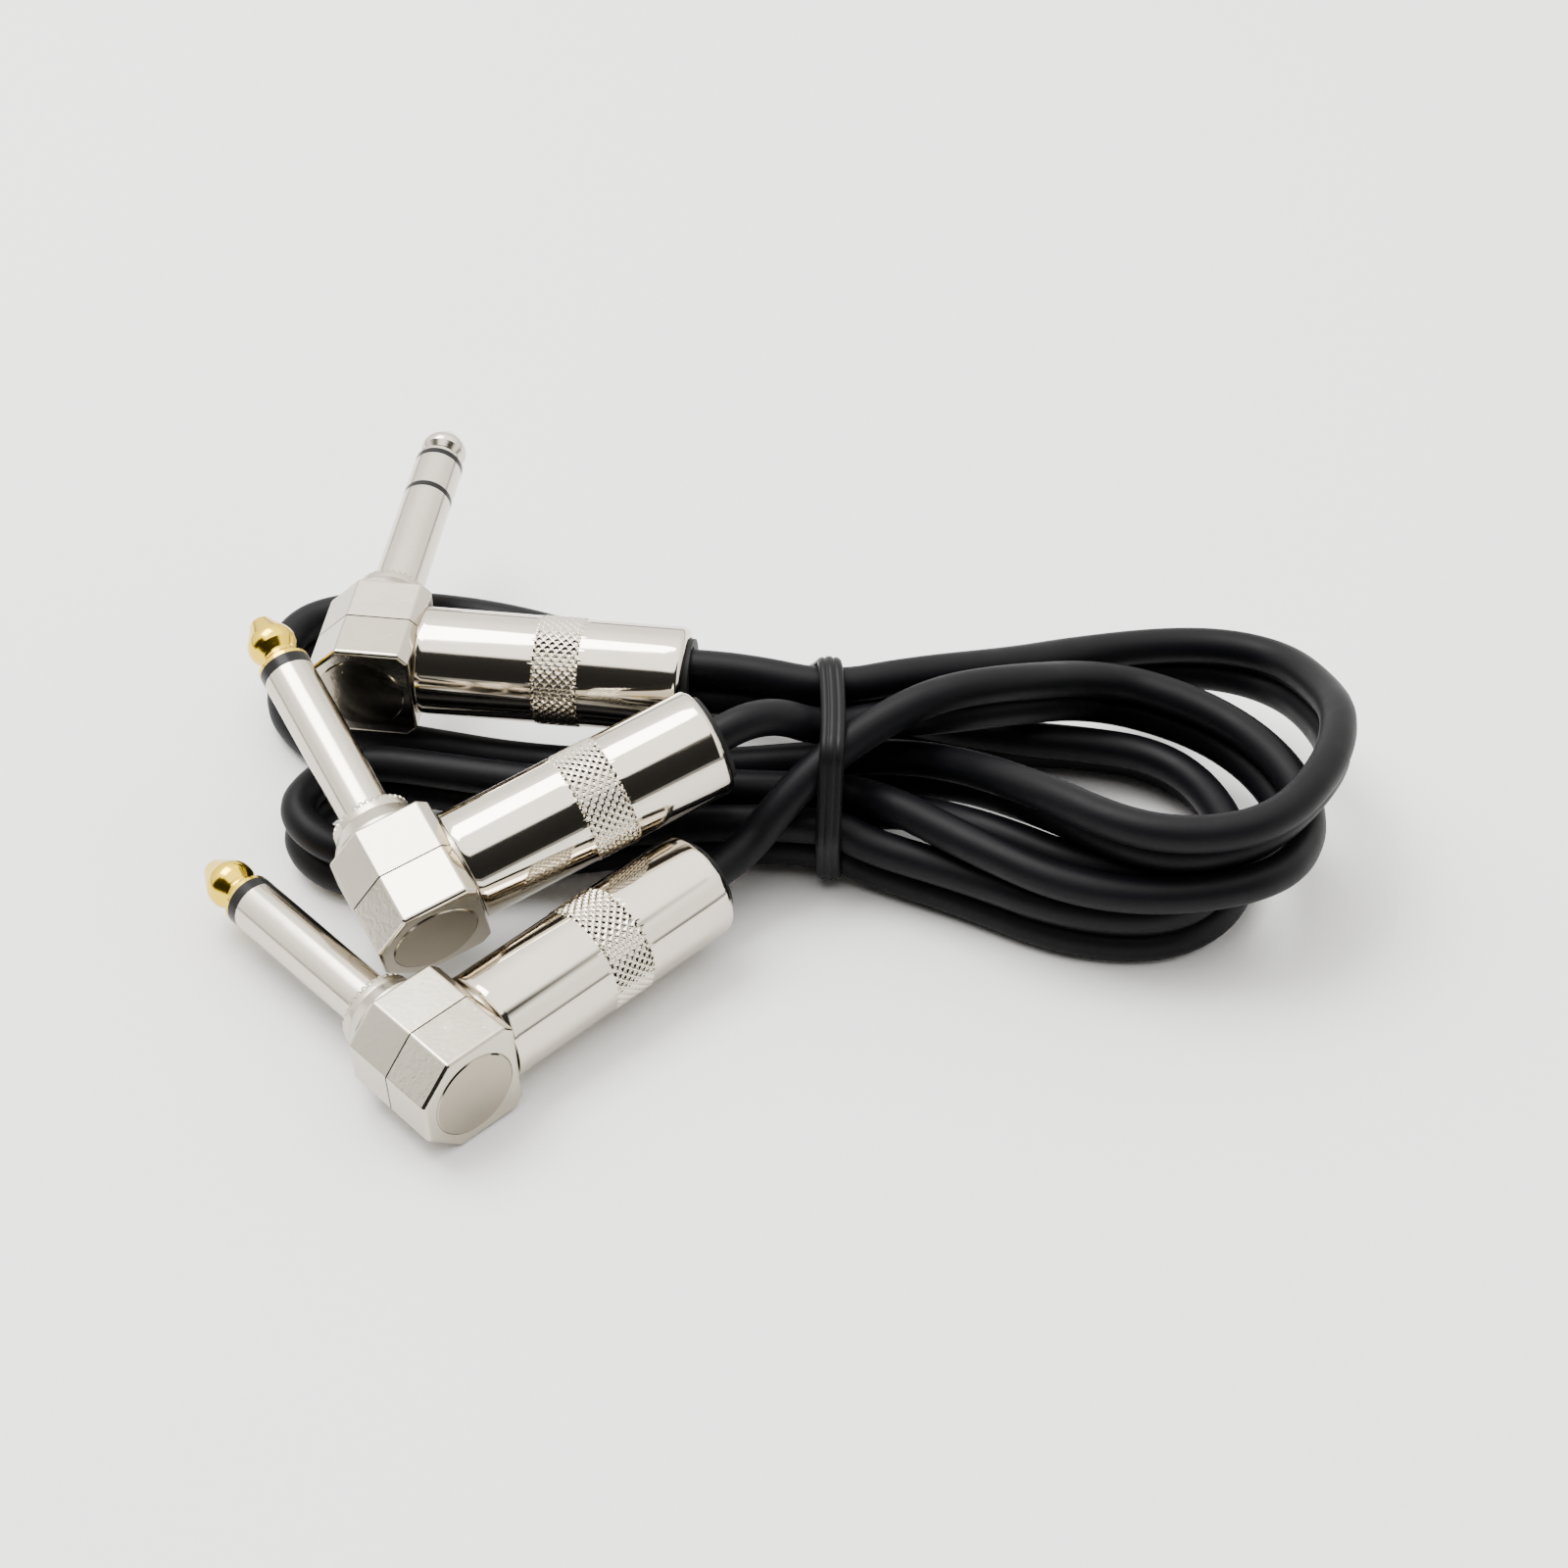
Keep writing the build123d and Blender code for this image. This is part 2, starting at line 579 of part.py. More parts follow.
cable("stereo_lead_upper", upper[:2], upper_heading[:2],
      lead_in=stereo.along_barrel(jacket_start, -core_pitch / 2))
cable("stereo_lead_lower", lower[:2], lower_heading[:2],
      lead_in=stereo.along_barrel(jacket_start, core_pitch / 2))
cable("hank_upper", upper[1:last_crossing + 1], upper_heading[1:last_crossing + 1])
cable("hank_lower", lower[1:], lower_heading[1:])
cable("mono_low_lead", upper[last_crossing:], upper_heading[last_crossing:],
      lead_out=mono_low.along_barrel(jacket_start))
cable("mono_high_lead", branch, branch_heading, lead_in=mono_high.along_barrel(jacket_start))


# ---- Tie: a moulded strap closed round the bundle ----------------------------------------------

def cores_at_tie():
    """Centres (Y, Z) of every core that crosses the tie."""
    crossings = []
    first = 1
    for turn in half_turns[:5]:
        crossings += [upper[first], lower[first]]
        first += len(turn)
    crossings += [upper[last_crossing], branch[1]]
    return [(point.Y, point.Z) for point in crossings]


with BuildPart() as tie:
    with BuildSketch(Plane.YZ.offset(place(tie_x, 0, 0).X - tie_width / 2)):
        with Locations(*cores_at_tie()):
            Circle(core_dia / 2 + tie_margin + tie_thickness)
        make_hull()
    extrude(amount=tie_width)
    with BuildSketch(Plane.YZ.offset(place(tie_x, 0, 0).X - tie_width / 2)):
        with Locations(*cores_at_tie()):
            Circle(core_dia / 2 + tie_margin)
        make_hull()
    extrude(amount=tie_width, mode=Mode.SUBTRACT)
    fillet(tie.edges(), 0.35)
save(tie, "cable_tie")
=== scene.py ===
import json
from math import cos, pi, radians, sin

import bpy
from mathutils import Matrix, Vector


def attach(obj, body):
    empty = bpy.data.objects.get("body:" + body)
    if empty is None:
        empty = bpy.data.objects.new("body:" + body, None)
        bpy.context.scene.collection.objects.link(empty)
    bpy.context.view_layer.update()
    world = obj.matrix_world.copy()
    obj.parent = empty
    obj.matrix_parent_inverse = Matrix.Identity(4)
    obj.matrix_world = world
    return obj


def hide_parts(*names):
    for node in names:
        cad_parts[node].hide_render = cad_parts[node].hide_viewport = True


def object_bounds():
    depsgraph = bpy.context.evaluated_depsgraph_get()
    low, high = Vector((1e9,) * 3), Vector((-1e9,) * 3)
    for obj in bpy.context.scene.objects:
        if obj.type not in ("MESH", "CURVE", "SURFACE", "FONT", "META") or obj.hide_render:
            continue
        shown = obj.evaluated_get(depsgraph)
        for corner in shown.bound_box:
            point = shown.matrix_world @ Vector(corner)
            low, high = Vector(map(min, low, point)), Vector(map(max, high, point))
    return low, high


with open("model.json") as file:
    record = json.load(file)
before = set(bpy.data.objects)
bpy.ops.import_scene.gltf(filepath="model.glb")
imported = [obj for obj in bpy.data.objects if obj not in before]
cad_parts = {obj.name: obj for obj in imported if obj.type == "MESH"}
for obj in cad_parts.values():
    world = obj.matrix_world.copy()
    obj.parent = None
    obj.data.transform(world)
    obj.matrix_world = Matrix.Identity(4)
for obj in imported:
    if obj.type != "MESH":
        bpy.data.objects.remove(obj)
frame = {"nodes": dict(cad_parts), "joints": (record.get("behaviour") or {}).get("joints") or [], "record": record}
cad_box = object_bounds()


# ---- Camera ------------------------------------------------------------------------------------
# Product view of the hanked lead: a short telephoto on a stand in front of the table, looking
# down at about forty degrees.  No shift, no depth of field.

camera_data = bpy.data.cameras.new("camera")
camera_data.lens = 64.28
camera_data.sensor_width = 36.0
camera_data.clip_start, camera_data.clip_end = 0.01, 20.0
camera = bpy.data.objects.new("camera", camera_data)
camera.location = (0.03706, -0.25780, 0.23283)
camera.rotation_euler = (radians(90 - 41.24), 0, 0)
bpy.context.collection.objects.link(camera)
bpy.context.scene.camera = camera


# ---- Cable -------------------------------------------------------------------------------------
# Twin core lead in soft black PVC, two round cores side by side.  It leaves the stereo plug on
# edge, is hanked in three turns, and parts behind the tie into a branch for each mono plug.

class Value:
    """One output of a finish's nodes.  Arithmetic on it adds Math nodes; node() adds any other."""

    def __init__(self, tree, socket=None):
        self.tree, self.socket = tree, socket

    def node(self, kind, settings, sockets, output=0):
        new = self.tree.nodes.new(kind)
        for name, setting in settings.items():
            if name == "stops":
                ramp = new.color_ramp
                while len(ramp.elements) < len(setting):
                    ramp.elements.new(0.5)
                for element, (position, shade) in zip(ramp.elements, setting):
                    element.position, element.color = position, shade
            else:
                setattr(new, name, setting)
        for name, value in sockets.items():
            if isinstance(value, Value):
                self.tree.links.new(value.socket, new.inputs[name])
            else:
                new.inputs[name].default_value = value
        return Value(self.tree, new.outputs[output] if new.outputs else None)

    def math(self, operation, *values):
        return self.node("ShaderNodeMath", {"operation": operation}, dict(enumerate(values)))

    def __add__(self, other): return self.math("ADD", self, other)
    def __sub__(self, other): return self.math("SUBTRACT", self, other)
    def __rsub__(self, other): return self.math("SUBTRACT", other, self)
    def __mul__(self, other): return self.math("MULTIPLY", self, other)
    __radd__, __rmul__ = __add__, __mul__


def new_finish(name):
    """An empty material, and the Value that its nodes are added through."""
    material = bpy.data.materials.new(name)
    material.use_nodes = True
    material.node_tree.nodes.clear()
    return material, Value(material.node_tree)


def close_finish(nodes, sockets):
    surface = nodes.node("ShaderNodeBsdfPrincipled", {}, sockets)
    nodes.node("ShaderNodeOutputMaterial", {}, {"Surface": surface})


def grain(nodes, where, scale, detail, stretch=(1, 1, 1)):
    """Noise about 0.5, with the feature size given as a scale per metre."""
    spread = nodes.node("ShaderNodeMapping", {}, {"Vector": where, "Scale": stretch})
    return nodes.node("ShaderNodeTexNoise", {}, {"Vector": spread, "Scale": scale, "Detail": detail,
                                                 "Roughness": 0.55})


def soft_plastic(name, dark, light, low_rough, high_rough, grain_height):
    """Matt black PVC or rubber: clouded colour, handling marks in the gloss, fine skin texture."""
    material, nodes = new_finish(name)
    where = nodes.node("ShaderNodeTexCoord", {}, {}, output=3)
    clouds = grain(nodes, where, 90, 3)
    rubbed = grain(nodes, where, 260, 5, (1, 1, 0.35))
    skin = grain(nodes, where, 2600, 3)
    mark = nodes.node("ShaderNodeValToRGB", {"stops": ((0.52, (0, 0, 0, 1)), (0.72, (1, 1, 1, 1)))},
                      {"Fac": rubbed})
    colour = nodes.node("ShaderNodeMix", {"data_type": "RGBA"},
                        {"Factor": clouds * 0.7 + mark * 0.3, 6: dark, 7: light}, output=2)
    bump = nodes.node("ShaderNodeBump", {}, {"Height": skin, "Strength": 0.35,
                                             "Distance": grain_height})
    close_finish(nodes, {"Base Color": colour, "Normal": bump, "Specular IOR Level": 0.13,
                         "Roughness": low_rough + (high_rough - low_rough) * clouds - mark * 0.05})
    return material


core_dia = 0.0044
core_pitch = 0.0049       # centre distance of the two cores
jacket_start = 0.013      # where the cores begin inside a plug, from its shaft
plug_mouth = 0.03965      # where they leave its strain relief
straight_from, straight_to = 0.0375, 0.0465   # kept in line while the strain relief slides

# The line of the upper core in half turns of the hank, one after another, and the lean in degrees
# of the twin cable from standing on edge, positive where the lower core lies to the left.
half_turns = (
    ((0.0429, 0.0032, 0.0192, 14), (0.0524, 0.0063, 0.0190, 14), (0.0654, 0.0114, 0.0165, 14),
     (0.0733, 0.0169, 0.0137, 14), (0.0848, 0.0200, 0.0128, 10), (0.0933, 0.0192, 0.0132, 5),
     (0.0997, 0.0152, 0.0141, 0), (0.1027, 0.0064, 0.0167, 0), (0.1031, -0.0036, 0.0204, 0),
     (0.0998, -0.0145, 0.0220, -18), (0.0930, -0.0228, 0.0212, -25),
     (0.0843, -0.0248, 0.0206, -22), (0.0758, -0.0231, 0.0204, -22),
     (0.0660, -0.0148, 0.0193, -25), (0.0556, -0.0011, 0.0120, -25)),
    ((0.0440, 0.0026, 0.0090, -14), (0.0255, 0.0015, 0.0080, -14), (0.0064, 0.0028, 0.0078, -14),
     (-0.0092, 0.0077, 0.0070, -10), (-0.0209, 0.0104, 0.0071, 0), (-0.0280, 0.0191, 0.0074, 0),
     (-0.0272, 0.0302, 0.0076, 0), (-0.0201, 0.0343, 0.0077, 5), (-0.0075, 0.0336, 0.0079, 14),
     (0.0065, 0.0291, 0.0082, 14), (0.0249, 0.0194, 0.0081, 14)),
    ((0.0437, 0.0138, 0.0091, 14), (0.0523, 0.0118, 0.0075, 22), (0.0654, 0.0093, 0.0064, 32),
     (0.0736, 0.0086, 0.0061, 38), (0.0824, 0.0066, 0.0061, 38), (0.0880, 0.0011, 0.0064, 32),
     (0.0912, -0.0094, 0.0069, 20), (0.0887, -0.0180, 0.0071, 8), (0.0818, -0.0239, 0.0071, -5),
     (0.0698, -0.0228, 0.0072, -5), (0.0584, -0.0167, 0.0073, -10), (0.0470, -0.0119, 0.0075, -14)),
    ((0.0427, -0.0102, 0.0094, -14), (0.0272, -0.0078, 0.0076, -14),
     (0.0140, -0.0093, 0.0075, -14), (0.0031, -0.0113, 0.0073, -14),
     (-0.0068, -0.0132, 0.0070, -10), (-0.0164, -0.0131, 0.0077, 0), (-0.0223, -0.0073, 0.0087, 0),
     (-0.0192, -0.0012, 0.0092, 5), (-0.0134, 0.0009, 0.0099, 14), (-0.0021, -0.0017, 0.0100, 14),
     (0.0106, -0.0043, 0.0102, 14), (0.0269, -0.0037, 0.0097, 14)),
    ((0.0438, -0.0034, 0.0087, 14), (0.0492, -0.0082, 0.0114, 45), (0.0589, -0.0169, 0.0122, 75),
     (0.0699, -0.0240, 0.0119, 82), (0.0816, -0.0260, 0.0122, 82), (0.0933, -0.0247, 0.0139, 66),
     (0.0986, -0.0162, 0.0122, 32), (0.0991, -0.0066, 0.0117, 8), (0.0948, 0.0022, 0.0122, -5),
     (0.0872, 0.0088, 0.0128, -10), (0.0774, 0.0133, 0.0129, -14), (0.0654, 0.0042, 0.0197, -14)),
    ((0.0557, 0.0004, 0.0210, -14), (0.0488, -0.0029, 0.0195, -14), (0.0424, -0.0070, 0.0173, -14),
     (0.0372, -0.0108, 0.0139, -14)),
)
high_branch = ((0.0491, 0.0012, 0.0163), (0.0419, -0.0016, 0.0168))


class Plug:
    """Where one plug stands: the crossing of its two axes, and their directions."""

    def __init__(self, name):
        screw = next(j for j in frame["joints"] if j["name"] == f"{name}_barrel_screw")
        pin = next(m for m in frame["record"]["mounts"] if m["name"] == f"{name}_plug")
        self.name = name
        self.barrel = Vector(screw["axis"]).normalized()
        self.shaft = Vector(pin["axis"]).normalized()
        self.side = self.shaft.cross(self.barrel)
        self.centre = Vector(screw["pos_m"]) - self.barrel * 0.020

    def point(self, along, sideways=0.0, up=0.0):
        return self.centre + self.barrel * along + self.side * sideways + self.shaft * up


stereo, mono_low, mono_high = plugs = [Plug(name) for name in ("stereo", "mono_low", "mono_high")]


def lead_out(plug, sideways=0.0):
    """Points of a core where it comes straight out of a plug."""
    return [plug.point(along, sideways) for along in (jacket_start, straight_from, straight_to)]


stations = [station for turn in half_turns for station in turn]
plug_points = 3           # points of a core that belong to its plug, before the first station
parting = plug_points + len(stations) - len(half_turns[-1])
last_crossing = parting + 2
upper = lead_out(stereo, -core_pitch / 2) + [Vector(s[:3]) for s in stations]
upper += reversed(lead_out(mono_low))

lower = lead_out(stereo, core_pitch / 2)
for i in range(plug_points, len(stations)):
    ahead = (upper[i + 1] - upper[i - 1]).normalized()
    left = Vector((-ahead.y, ahead.x, 0)).normalized()
    lean = radians(stations[i - plug_points][3])
    lower.append(upper[i] + (left * sin(lean) - ahead.cross(left) * cos(lean)) * core_pitch)
lower += [Vector(point) for point in high_branch] + lead_out(mono_high)[::-1]

jacket = soft_plastic("cable_jacket", (0.0013, 0.0013, 0.0021, 1), (0.0030, 0.0030, 0.0045, 1),
                      0.42, 0.60, 0.00003)


def core(name, points, replaced):
    line = bpy.data.curves.new(name, "CURVE")
    line.dimensions = "3D"
    spline = line.splines.new("NURBS")
    spline.points.add(len(points) - 1)
    for control, point in zip(spline.points, points):
        control.co = (*point, 1)
    spline.order_u = 3
    spline.use_endpoint_u = True
    spline.resolution_u = 10
    line.bevel_depth = core_dia / 2
    line.bevel_resolution = 7
    line.use_fill_caps = True
    line.materials.append(jacket)
    piece = bpy.data.objects.new(name, line)
    bpy.context.collection.objects.link(piece)
    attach(piece, "cable")
    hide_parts(*replaced)
    return piece


def rings_mesh(name, rings, closed=False, caps=False):
    """A mesh through rings of equally many points, each ring joined to the next."""
    count = len(rings[0])
    vertices = [point for ring in rings for point in ring]
    joints = range(len(rings) if closed else len(rings) - 1)
    faces = []
    for r in joints:
        a, b = r * count, (r + 1) % len(rings) * count
        faces += [(a + i, a + (i + 1) % count, b + (i + 1) % count, b + i) for i in range(count)]
    if caps:
        faces.append(tuple(reversed(range(count))))
        faces.append(tuple(range(len(vertices) - count, len(vertices))))
    mesh = bpy.data.meshes.new(name)
    mesh.from_pydata(vertices, [], faces)
    mesh.validate()
    mesh.shade_smooth()
    piece = bpy.data.objects.new(name, mesh)
    bpy.context.collection.objects.link(piece)
    return piece


def thread_of(piece):
    """Points along a core's own line."""
    line = piece.data.copy()
    line.bevel_depth = 0
    thread = bpy.data.objects.new("thread", line)
    bpy.context.collection.objects.link(thread)
    drawn = bpy.data.meshes.new_from_object(
        thread.evaluated_get(bpy.context.evaluated_depsgraph_get()))
    points = [vertex.co.copy() for vertex in drawn.vertices]
    bpy.data.objects.remove(thread)
    bpy.data.curves.remove(line)
    bpy.data.meshes.remove(drawn)
    return points


web_half_thickness = 0.0008
web_reach = 0.28          # how far into a core the web's edge lies, as a share of the pitch
web_end = 0.004           # from the web's end to the parting
look_ahead = 12           # points of the far core that may lie opposite the next near one


def web_between(near, far, parted):
    """The thin flat of jacket that joins the cores, down to where they part."""
    rings, match = [], 0
    for i in range(1, len(near) - 1):
        reach = range(match, min(match + look_ahead, len(far)))
        match = min(reach, key=lambda n: (far[n] - near[i]).length)
        gap = far[match] - near[i]
        if (near[i] - parted).length < web_end:
            break
        over = gap.cross(near[i + 1] - near[i - 1]).normalized() * web_half_thickness
        a, b = near[i].lerp(far[match], web_reach), near[i].lerp(far[match], 1 - web_reach)
        rings.append([a + over, b + over, b - over, a - over])
    return rings_mesh("core_web", rings, caps=True)


upper_core = core("upper_core", upper, ("stereo_lead_upper", "hank_upper", "mono_low_lead"))
lower_core = core("lower_core", lower, ("stereo_lead_lower", "hank_lower", "mono_high_lead"))
web = web_between(thread_of(upper_core), thread_of(lower_core), upper[parting])
web.data.materials.append(jacket)
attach(web, "cable")
stereo.point(plug_mouth, -core_pitch / 2)
stereo.point(plug_mouth, core_pitch / 2)


# ---- Tie ---------------------------------------------------------------------------------------
# Moulded black strap closed round the bundle, three millimetres wide and ribbed lengthwise.  It
# is drawn tight, so it takes the outline of the cores that cross it.

tie_place = 0.04246       # along X
tie_inside = core_dia / 2 + 0.00085   # from a core's centre
tie_bow = 6.0             # its middle stands ahead of its ends along X, by this times Y squared
tie_spacing = 0.00030

first_of_turn = [plug_points + sum(len(turn) for turn in half_turns[:n]) for n in range(5)]
crossing = [line[i] for i in first_of_turn for line in (upper, lower)]
crossing += [upper[last_crossing], Vector(high_branch[1])]
tied = [Vector((tie_place, c.y, c.z)) for c in crossing]


def strap_outline():
    """Points round the bundle at the strap's inner face, evenly spaced, with their outward normals."""
    corners, steps = [], 720
    for n in range(steps):
        turn = 2 * pi * n / steps
        out = Vector((0, cos(turn), sin(turn)))
        outermost = max(tied, key=lambda c: c.dot(out))
        corners.append((outermost + out * tie_inside, out))
    places, walked = [], 0.0
    for (a, out_a), (b, out_b) in zip(corners, corners[1:] + corners[:1]):
        span = (b - a).length
        while walked < span:
            share = walked / span
            place = a.lerp(b, share)
            place.x += 0.0004 - tie_bow * (place.y + 0.003) ** 2
            places.append((place, out_a.lerp(out_b, share).normalized()))
            walked += tie_spacing
        walked -= span
    return places


# Across the strap, from one edge to the other: distance from the middle and height.  A round
# crown with a groove on each side of its centre rib, then the flat inner face.
strap_section = ((-1.50, 0.22), (-1.42, 0.48), (-1.22, 0.70), (-0.98, 0.82), (-0.76, 0.83),
                 (-0.60, 0.76), (-0.52, 0.74), (-0.42, 0.80), (-0.24, 0.93), (0.0, 0.95),
                 (0.24, 0.93), (0.42, 0.80), (0.52, 0.74), (0.60, 0.76), (0.76, 0.83),
                 (0.98, 0.82), (1.22, 0.70), (1.42, 0.48), (1.50, 0.22), (1.38, 0.04),
                 (1.10, 0.0), (0.0, 0.0), (-1.10, 0.0), (-1.38, 0.04))


strap = rings_mesh("tie_strap", [
    [place + out * (height / 1000) + Vector((across / 1000, 0, 0))
     for across, height in strap_section]
    for place, out in strap_outline()], closed=True)
strap.data.materials.append(soft_plastic("tie", (0.0028, 0.0028, 0.0033, 1),
                                         (0.0058, 0.0058, 0.0068, 1), 0.34, 0.48, 0.00002))
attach(strap, "cable")
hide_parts("cable_tie")


# ---- Elbows, covers and end plates -------------------------------------------------------------
# Die-cast zinc shells, barrel-polished and nickel plated: satin, a little orange-peeled, warm
# white.  The cover is pressed on below the seam and a turned plate closes its end.

def dress(material, slot, *nodes):
    for node in nodes:
        target = frame["nodes"][node]
        target.data.materials.clear()
        target.data.materials.append(material)


def cast_nickel(name, tint, low_rough, high_rough):
    material, nodes = new_finish(name)
    where = nodes.node("ShaderNodeTexCoord", {}, {}, output=3)
    clouds = grain(nodes, where, 160, 4)
    peel = grain(nodes, where, 1500, 3)
    pits = nodes.node("ShaderNodeTexVoronoi", {}, {"Vector": where, "Scale": 900})
    pit = nodes.node("ShaderNodeValToRGB", {"stops": ((0.06, (1, 1, 1, 1)), (0.13, (0, 0, 0, 1)))},
                     {"Fac": pits})
    scuffs = grain(nodes, where, 420, 6, (1, 0.2, 0.6))
    scuff = nodes.node("ShaderNodeValToRGB", {"stops": ((0.60, (0, 0, 0, 1)), (0.68, (1, 1, 1, 1)))},
                       {"Fac": scuffs})
    bright = tuple(min(1.0, c * 1.06) for c in tint) + (1,)
    dull = tuple(c * 0.90 for c in tint) + (1,)
    colour = nodes.node("ShaderNodeMix", {"data_type": "RGBA"},
                        {"Factor": clouds * 0.8 + scuff * 0.2, 6: dull, 7: bright}, output=2)
    height = peel + clouds * 0.6 - pit * 0.5
    bump = nodes.node("ShaderNodeBump", {}, {"Height": height, "Strength": 0.45,
                                             "Distance": 0.00003})
    close_finish(nodes, {"Base Color": colour, "Metallic": 1.0, "Normal": bump,
                         "Roughness": low_rough + (high_rough - low_rough) * clouds + scuff * 0.05})
    return material


satin_nickel = cast_nickel("cast_nickel", (0.54, 0.495, 0.41), 0.22, 0.34)
cover_nickel = cast_nickel("cover_nickel", (0.52, 0.475, 0.39), 0.12, 0.20)
# The end plates get a much darker nickel than the shells. This is painted shade, standing in for the dark
# reflection of the shadowed table beside them.
painted_shade_disc_nickel = cast_nickel("painted_shade_disc_nickel", (0.34, 0.30, 0.235), 0.10, 0.18)
for plug in plugs:
    dress(satin_nickel, "cast_nickel", f"{plug.name}_elbow")
    dress(cover_nickel, "cast_nickel", f"{plug.name}_cover")
    dress(painted_shade_disc_nickel, "cast_nickel", f"{plug.name}_end_disc")


# ---- Shafts and collars ------------------------------------------------------------------------
# Brass turned on a lathe to the quarter inch and nickel plated.  The tool leaves fine rings square
# to the shaft, and the plating is brighter than the castings.

def turned_metal(name, plug, tint, low_rough, high_rough, ring_height):
    """Plated metal with fine lathe rings about the plug's shaft."""
    material, nodes = new_finish(name)
    where = nodes.node("ShaderNodeTexCoord", {}, {}, output=3)
    along = nodes.node("ShaderNodeVectorMath", {"operation": "DOT_PRODUCT"},
                       {0: where, 1: tuple(plug.shaft)}, output=1)
    rings = nodes.node("ShaderNodeTexNoise", {"noise_dimensions": "1D"},
                       {"W": along, "Scale": 9000, "Detail": 4, "Roughness": 0.7})
    clouds = grain(nodes, where, 240, 4)
    bright = tuple(min(1.0, c * 1.05) for c in tint) + (1,)
    dull = tuple(c * 0.92 for c in tint) + (1,)
    colour = nodes.node("ShaderNodeMix", {"data_type": "RGBA"},
                        {"Factor": clouds * 0.6 + rings * 0.4, 6: dull, 7: bright}, output=2)
    bump = nodes.node("ShaderNodeBump", {}, {"Height": rings, "Strength": 0.25,
                                             "Distance": ring_height})
    close_finish(nodes, {"Base Color": colour, "Metallic": 1.0, "Normal": bump,
                         "Roughness": low_rough + (high_rough - low_rough) * clouds})
    return material


# The collar's top edge: distance above the elbow's cone and radius.
collar_section = ((0.00, 3.10), (0.00, 4.86), (0.45, 4.86), (0.80, 4.80), (0.95, 4.78), (1.05, 4.78),
                  (1.30, 4.76), (1.50, 4.66), (1.62, 4.48), (1.66, 4.25), (1.67, 3.95), (1.70, 3.90),
                  (1.76, 3.80), (1.78, 3.60), (1.78, 3.10))
collar_foot = 0.0094      # top of the cone, from the barrel's axis
teeth, steps_a_tooth = 36, 10
tooth_depth = 0.00026
cut_from, cut_to, cut_inside = 1.0, 1.68, 4.0   # part of the section that the teeth are cut in


def collar(plug):
    """A ring round the shaft with a fine saw-cut edge."""
    rings = []
    for up, radius in collar_section:
        ring = []
        cut = tooth_depth if cut_from < up < cut_to and radius > cut_inside else 0
        for i in range(teeth * steps_a_tooth):
            depth = cut * max(0.0, cos(2 * pi * i / steps_a_tooth)) ** 0.7
            a = 2 * pi * i / (teeth * steps_a_tooth)
            r = radius / 1000 - depth
            ring.append(plug.point(r * cos(a), r * sin(a), collar_foot + up / 1000 - depth * 0.6))
        rings.append(ring)
    piece = rings_mesh(f"{plug.name}_cut_collar", rings + rings[:1])
    piece.data.set_sharp_from_angle(angle=radians(50))
    piece.data.materials.append(satin_nickel)
    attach(piece, "cable")
    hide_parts(f"{plug.name}_collar")


for plug in plugs:
    bright_shaft = turned_metal(f"{plug.name}_shaft_nickel", plug, (0.58, 0.53, 0.445), 0.12, 0.22,
                                0.000012)
    dress(bright_shaft, "shaft_nickel", f"{plug.name}_sleeve")
    collar(plug)
    if plug is stereo:
        dress(bright_shaft, "shaft_nickel", "stereo_ring", "stereo_tip")
    else:
        dress(turned_metal(f"{plug.name}_gold", plug, (0.80, 0.55, 0.04), 0.10, 0.20, 0.000008),
              "gold", f"{plug.name}_tip")


# ---- Insulators --------------------------------------------------------------------------------
# Moulded black acetal washers and tubes between the contacts, turned flush with the shaft.

acetal = soft_plastic("insulator", (0.008, 0.008, 0.008, 1), (0.015, 0.015, 0.015, 1), 0.22, 0.34,
                      0.00001)
dress(acetal, "insulator", "stereo_tip_insulator", "stereo_ring_insulator",
      "mono_low_tip_insulator", "mono_high_tip_insulator")


# ---- Screwed barrels ---------------------------------------------------------------------------
# Drawn brass tube with a rolled-in rim, polished lengthwise and nickel plated.  A band of diamond
# knurling, crossing ridges over sunk diamonds, gives the fingers a grip.

barrel_start, barrel_end = 0.00655, 0.03905
barrel_radius, bore_radius, mouth_radius = 0.0066, 0.0056, 0.0053
lip = 0.0012
rim_round = 0.0010
knurl_from, knurl_to, knurl_top, knurl_pit = 0.02095, 0.02635, 0.0067, 0.00644
diamonds_round, diamonds_along = 38, 5
steps_round, steps_along = 8, 8


def knurl_depth(turn, along):
    """0 on the ridges, 1 in the middle of a pit, at a place given in diamonds."""
    slopes = []
    for ramp in (turn + along, turn - along):
        slopes.append(min(1.0, max(0.0, (0.5 - abs((ramp + 0.5) % 1.0 - 0.5)) * 2 - 0.16) / 0.55))
    return 1 - max(1 - s for s in slopes)


def polished_nickel(name):
    """Reads the barrel's own map: U round it, V along it, both in metres."""
    material, nodes = new_finish(name)
    skin = nodes.node("ShaderNodeTexCoord", {}, {}, output=2)
    where = nodes.node("ShaderNodeTexCoord", {}, {}, output=3)
    lines = grain(nodes, skin, 5200, 3, (1, 0.012, 1))
    clouds = grain(nodes, where, 150, 3)
    hairs = nodes.node("ShaderNodeValToRGB", {"stops": ((0.63, (0, 0, 0, 1)), (0.70, (1, 1, 1, 1)))},
                       {"Fac": grain(nodes, skin, 1900, 2, (1, 0.02, 1))})
    colour = nodes.node("ShaderNodeMix", {"data_type": "RGBA"},
                        {"Factor": clouds * 0.7 + lines * 0.3, 6: (0.58, 0.53, 0.445, 1),
                         7: (0.69, 0.635, 0.54, 1)}, output=2)
    bump = nodes.node("ShaderNodeBump", {}, {"Height": lines + hairs * 0.6, "Strength": 0.10,
                                             "Distance": 0.000008})
    close_finish(nodes, {"Base Color": colour, "Metallic": 1.0, "Normal": bump,
                         "Roughness": 0.05 + clouds * 0.05 + hairs * 0.06})
    return material


